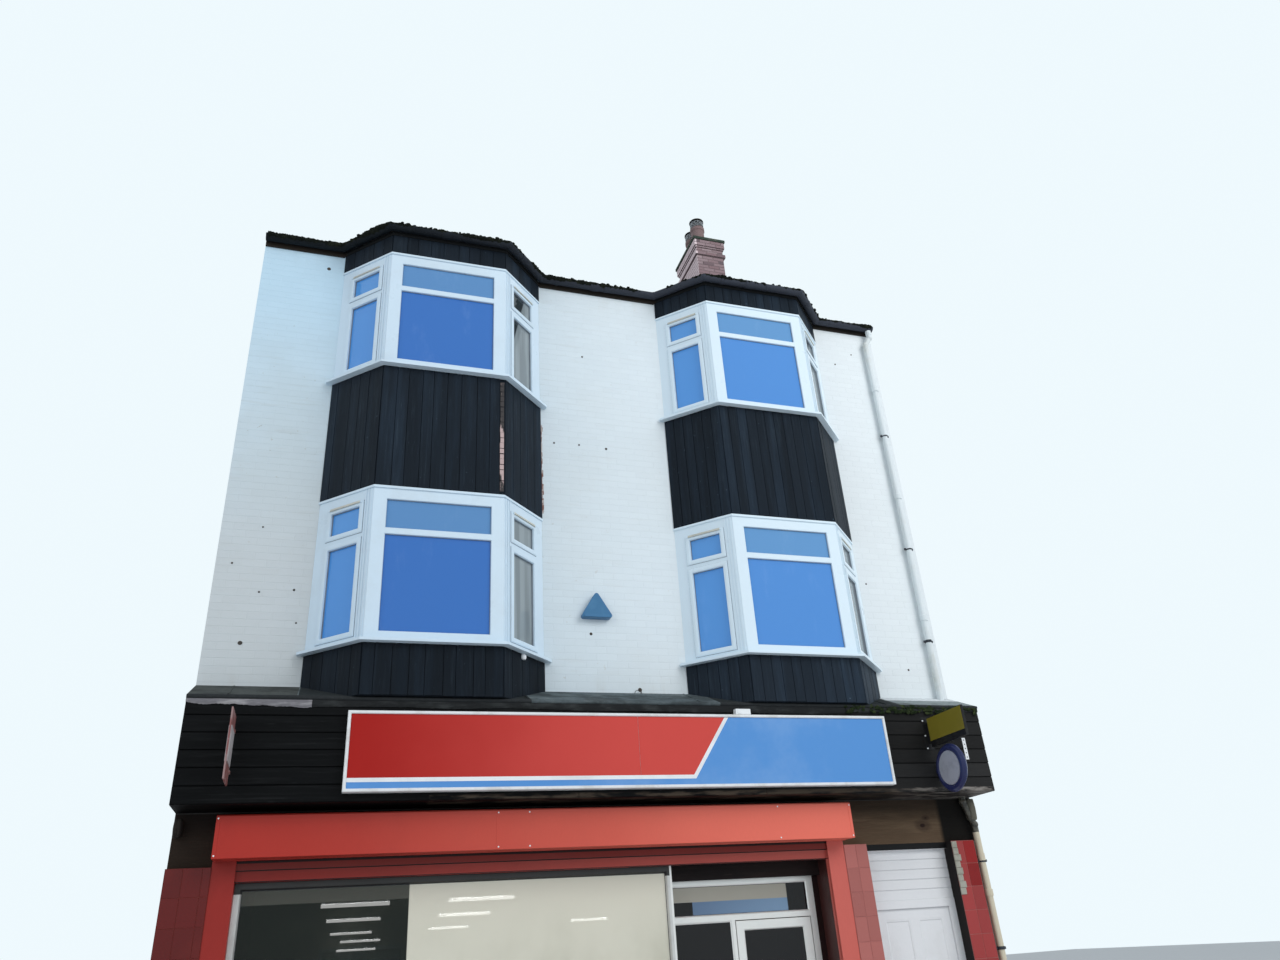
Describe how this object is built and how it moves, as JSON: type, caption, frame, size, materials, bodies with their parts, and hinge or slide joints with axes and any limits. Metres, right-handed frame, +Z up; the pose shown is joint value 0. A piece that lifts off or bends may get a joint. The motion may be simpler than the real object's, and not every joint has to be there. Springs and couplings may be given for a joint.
{
  "type": "terraced shop building",
  "caption": "Three-storey terraced shop house with white painted brick, canted bay windows boarded in black, a tiled roof, and a red shopfront with a side door.",
  "frame": {"origin": "middle of the house plot at ground level, on the slab's underside", "axes": "+X along the street to the right, +Y into the house, +Z up"},
  "size_m": [7.915, 10.6043, 15.2773],
  "materials": {
    "painted_brick": "white masonry paint over brick",
    "red_brick": "weathered red brick",
    "concrete": "trowelled concrete",
    "old_timber": "dark stained beam",
    "floor_timber": "boarded joists with plaster under",
    "plaster": "painted plaster",
    "roof_tile": "dark weathered tiles",
    "clay": "weathered terracotta",
    "cap_stone": "dark weathered cement",
    "black_metal": "black painted metal",
    "black_boards": "black stained boards with worn patches",
    "bay_felt": "roofing felt",
    "white_upvc": "white plastic frame",
    "glass": "clear window glass",
    "black_gutter": "black gutter with moss",
    "brown_board": "brown stained board",
    "white_pipe": "white plastic pipe",
    "lead": "dull rolled lead",
    "sign_red": "gloss sign panel",
    "board_sign": "faded sign board",
    "sign_yellow": "yellow and black sign box",
    "sign_blue": "blue sign drum with a pale face",
    "alarm_blue": "blue plastic cover",
    "shutter_red": "red powder-coated steel",
    "head_timber": "dark painted timber",
    "aluminium": "silver anodised frame",
    "tile_red": "deep red glazed tiles",
    "steel": "satin steel",
    "white_paint": "white painted boards"
  },
  "bodies": {
    "root": {"ground_slab": "concrete", "left_party_wall": "red_brick", "right_party_wall": "red_brick", "front_wall": "painted_brick", "rear_wall": "red_brick", "shopfront_beam": "old_timber", "first_floor": "floor_timber", "second_floor": "floor_timber", "top_ceiling": "plaster", "front_roof_slope": "roof_tile", "rear_roof_slope": "roof_tile", "ridge_tiles": "roof_tile", "chimney_breast": "plaster", "chimney_stack": "red_brick", "chimney_cap": "cap_stone", "chimney_pots": "clay", "pot_cowls": "black_metal", "left_bay_boarding": "black_boards", "right_bay_boarding": "black_boards", "bay_roofs": "bay_felt", "left_bay_lower_window": "white_upvc", "left_bay_upper_window": "white_upvc", "right_bay_lower_window": "white_upvc", "right_bay_upper_window": "white_upvc", "left_bay_glass": "glass", "right_bay_glass": "glass", "bay_sills": "white_upvc", "front_gutter": "black_gutter", "eaves_board": "brown_board", "front_downpipe": "white_pipe", "rear_rainwater": "black_gutter", "fascia_boards": "black_boards", "fascia_flashing": "lead", "sign_panel": "sign_red", "projecting_board": "board_sign", "box_sign": "sign_yellow", "round_sign": "sign_blue", "alarm_box": "alarm_blue", "shutter_box": "shutter_red", "shutter_guides": "shutter_red", "shopfront_head": "head_timber", "shop_window_frame": "aluminium", "shop_window_glass": "glass", "stall_riser": "tile_red", "entrance_frame": "aluminium", "entrance_glass": "glass", "side_door_frame": "white_paint", "side_door_boards": "white_paint", "left_pilaster": "tile_red", "middle_pilaster": "tile_red", "right_pilaster": "tile_red", "rear_window_frames": "white_upvc", "rear_window_glass": "glass", "rear_door": "white_paint"},
    "shop_door": {"shop_door_leaf": "aluminium", "shop_door_glass": "glass", "shop_door_handle": "steel"},
    "side_door": {"side_door_leaf": "white_paint", "side_door_handle": "steel"}
  },
  "joints": [
    {"name": "shop_door_hinge", "type": "hinge", "parent": "root", "child": "shop_door", "pos_m": [1.926, -4.448, 0], "axis": [0, 0, -1], "range_deg": [0, 90]},
    {"name": "side_door_hinge", "type": "hinge", "parent": "root", "child": "side_door", "pos_m": [3.451, -4.588, 0], "axis": [0, 0, -1], "range_deg": [0, 90]}
  ]
}
